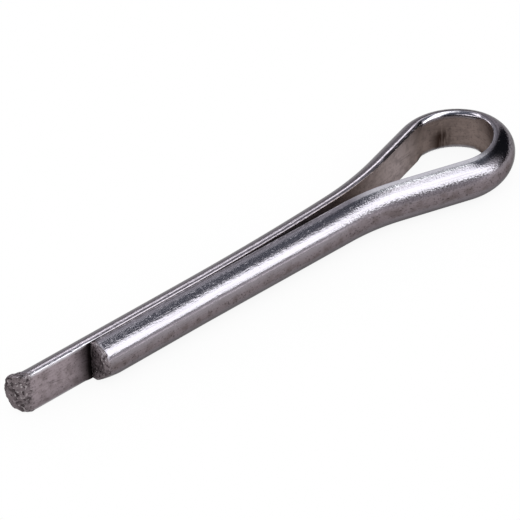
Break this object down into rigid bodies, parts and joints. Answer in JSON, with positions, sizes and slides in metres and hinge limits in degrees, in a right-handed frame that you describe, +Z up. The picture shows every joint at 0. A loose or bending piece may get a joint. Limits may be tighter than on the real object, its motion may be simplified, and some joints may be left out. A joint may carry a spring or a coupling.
{
  "type": "cotter pin",
  "caption": "Split pin folded from half-round steel wire: two flat-sided legs close to a round shank, one longer than the other, with an open teardrop eye.",
  "frame": {"origin": "on the axis of the closed shank, at the end of the short leg", "axes": "+X along the shank towards the eye, +Y from the short leg to the long leg, +Z up, square to the eye's plane, with the pin lying flat"},
  "size_m": [0.0813, 0.0158, 0.0058],
  "materials": {
    "plain_steel": "bright drawn half-round steel wire, tumbled, with fine scratches and small pits"
  },
  "bodies": {
    "root": {"cotter_pin": "plain_steel"}
  },
  "joints": []
}
